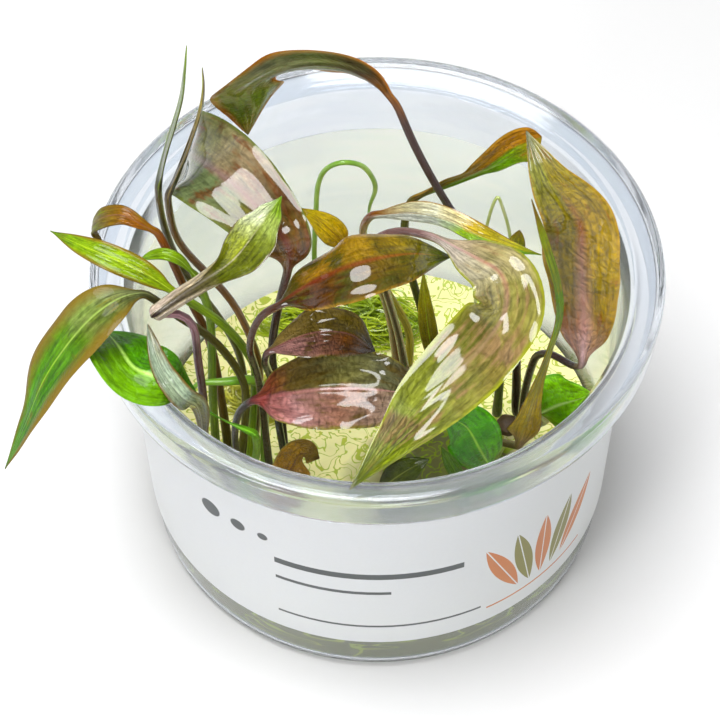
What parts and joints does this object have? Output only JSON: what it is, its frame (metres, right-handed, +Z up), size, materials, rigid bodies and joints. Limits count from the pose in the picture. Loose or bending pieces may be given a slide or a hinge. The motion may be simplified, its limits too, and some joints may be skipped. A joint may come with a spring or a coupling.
{
  "type": "potted cryptocoryne nurii",
  "caption": "Tissue-culture aquarium plant: a clump of long-stalked lance-shaped leaves in a clear flanged plastic cup with a label band and a layer of gel.",
  "frame": {"origin": "centre of the cup's base, on its underside", "axes": "+Z up along the cup's axis, -Y towards the front of the label and the viewer, +X to the viewer's right"},
  "size_m": [0.1136, 0.1, 0.1131],
  "materials": {
    "clear_plastic": "clear, smooth",
    "label": "printed film, satin",
    "gel": "moist, cloudy",
    "rhizome": "fibrous",
    "leaf_olive": "waxy gloss",
    "leaf_brown": "waxy gloss",
    "leaf_green": "waxy gloss",
    "leaf_lime": "waxy gloss",
    "leaf_amber": "waxy gloss",
    "leaf_purple": "waxy gloss",
    "root": "moist"
  },
  "bodies": {
    "root": {"cup": "clear_plastic", "label_band": "label", "gel": "gel", "crown_left_front": "rhizome", "crown_left_back": "rhizome", "crown_middle": "rhizome", "crown_right": "rhizome", "crown_front": "rhizome", "leaf_arching": "leaf_olive", "leaf_broad_brown": "leaf_brown", "leaf_upright_back": "leaf_green", "leaf_upright_front": "leaf_brown", "leaf_centre": "leaf_amber", "leaf_long_drooping": "leaf_green", "leaf_lime": "leaf_lime", "leaf_curled_brown": "leaf_brown", "leaf_thin_green": "leaf_lime", "leaf_low_green": "leaf_green", "leaf_grey_sheen": "leaf_olive", "leaf_upper_glossy": "leaf_purple", "leaf_lower_glossy": "leaf_purple", "leaf_small_folded": "leaf_brown", "leaf_big_front": "leaf_olive", "leaf_tall_right": "leaf_amber", "leaf_back_right": "leaf_brown", "leaf_twisted": "leaf_green", "leaf_yellow_back": "leaf_amber", "leaf_slender_tip": "leaf_olive", "leaf_round_green": "leaf_green", "leaf_dark_slip": "leaf_green", "leaf_ovate_green": "leaf_green", "leaf_hanging_slip": "leaf_amber", "leaf_inner_olive": "leaf_olive", "leaf_low_olive": "leaf_olive", "leaf_rolled": "leaf_purple", "stalk_cut": "leaf_lime", "root_curl": "root", "root_loop": "root", "roots_back": "root", "roots_left": "root", "shoots_front": "root"}
  },
  "joints": []
}
